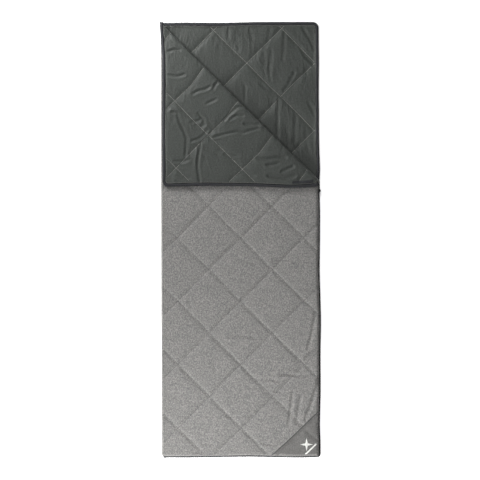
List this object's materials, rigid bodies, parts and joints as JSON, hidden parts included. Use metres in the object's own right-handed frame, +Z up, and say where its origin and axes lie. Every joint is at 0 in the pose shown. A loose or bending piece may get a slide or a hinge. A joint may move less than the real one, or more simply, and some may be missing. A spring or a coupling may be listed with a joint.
{
  "type": "camp quilt",
  "caption": "Quilted rectangular camp quilt folded lengthwise and zipped round side and foot, with its head corner turned back.",
  "frame": {"origin": "on the ground, under the centre of the object's box as it lies folded and zipped with its corner turned back", "axes": "+X towards the zipped side, +Y towards the head end, +Z up"},
  "size_m": [0.7386, 2, 0.0477],
  "materials": {
    "shell_cloth": "matt heather grey woven polyester",
    "lining_cloth": "smooth dark olive grey polyester taffeta with a low sheen",
    "batting": "white hollow-fibre wadding",
    "zip_tape": "blue-black ribbed woven tape",
    "zip_coil": "black moulded nylon monofilament",
    "patch_cloth": "matt darker heather grey woven polyester",
    "piping": "near-black woven piping",
    "emblem_thread": "off-white printed transfer with a low sheen",
    "slider_metal": "black lacquered zinc casting"
  },
  "bodies": {
    "base": {"base_shell": "shell_cloth", "base_batting": "batting", "base_lining": "lining_cloth", "base_zip_tape": "zip_tape", "base_zip_coil": "zip_coil", "base_head_stop": "slider_metal", "foot_retainer_box": "slider_metal"},
    "cover": {"cover_shell": "shell_cloth", "cover_batting": "batting", "cover_lining": "lining_cloth", "cover_zip_tape": "zip_tape", "cover_zip_coil": "zip_coil", "foot_insertion_pin": "slider_metal", "corner_patch": "patch_cloth", "patch_piping": "piping", "emblem": "emblem_thread"},
    "flap": {"flap_shell": "shell_cloth", "flap_batting": "batting", "flap_lining": "lining_cloth", "flap_zip_tape": "zip_tape", "flap_zip_coil": "zip_coil", "flap_head_stop": "slider_metal", "snag_guard": "zip_tape"},
    "slider": {"slider_body": "slider_metal", "pull_pin": "slider_metal"},
    "pull": {"pull_tab": "slider_metal"}
  },
  "joints": [
    {"name": "cover_fold", "type": "hinge", "parent": "base", "child": "cover", "pos_m": [-0.3658, 0, 0.016], "axis": [0, -1, 0], "range_deg": [0, 180]},
    {"name": "flap_fold", "type": "hinge", "parent": "cover", "child": "flap", "pos_m": [-0.3658, 0.9965, 0.032], "axis": [-0.7071, 0.7071, 0], "range_deg": [0, 180]},
    {"name": "zip_slide", "type": "slide", "parent": "base", "child": "slider", "axis": [0, -1, 0], "range_m": [0, 1.18]},
    {"name": "pull_swing", "type": "hinge", "parent": "slider", "child": "pull", "pos_m": [0.3674, 0.225, 0.016], "axis": [0, 0, 1], "range_deg": [0, 180]}
  ]
}
